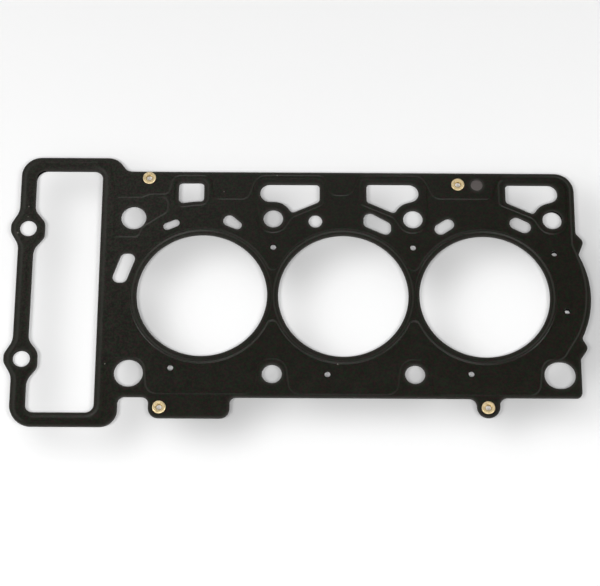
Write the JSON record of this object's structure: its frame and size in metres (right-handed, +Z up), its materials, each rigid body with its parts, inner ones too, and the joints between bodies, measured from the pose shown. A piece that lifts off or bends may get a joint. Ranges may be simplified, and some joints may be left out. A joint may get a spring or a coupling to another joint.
{
  "type": "cylinder head gasket",
  "caption": "Flat multi-layer steel cylinder head gasket with embossed sealing beads round its bores, chain-case window, galleries and bolt holes.",
  "frame": {"origin": "on the axis of the middle cylinder bore, at the underside of the eyelets, where the gasket rests", "axes": "+X along the row of bores, away from the chain case; +Y across the sheet, towards the galleries' edge; +Z up through the layers, towards the cylinder head"},
  "size_m": [0.3034, 0.1503, 0.0021],
  "materials": {
    "coated_sheet": "satin near-black elastomer coating on spring steel",
    "bare_core": "matt bare steel",
    "eyelet": "soft sheen, rolled brass"
  },
  "bodies": {
    "root": {"top_layer": "coated_sheet", "core_layer": "bare_core", "bottom_layer": "coated_sheet", "eyelet_top_left": "eyelet", "eyelet_top_right": "eyelet", "eyelet_bottom_left": "eyelet", "eyelet_bottom_right": "eyelet"}
  },
  "joints": []
}
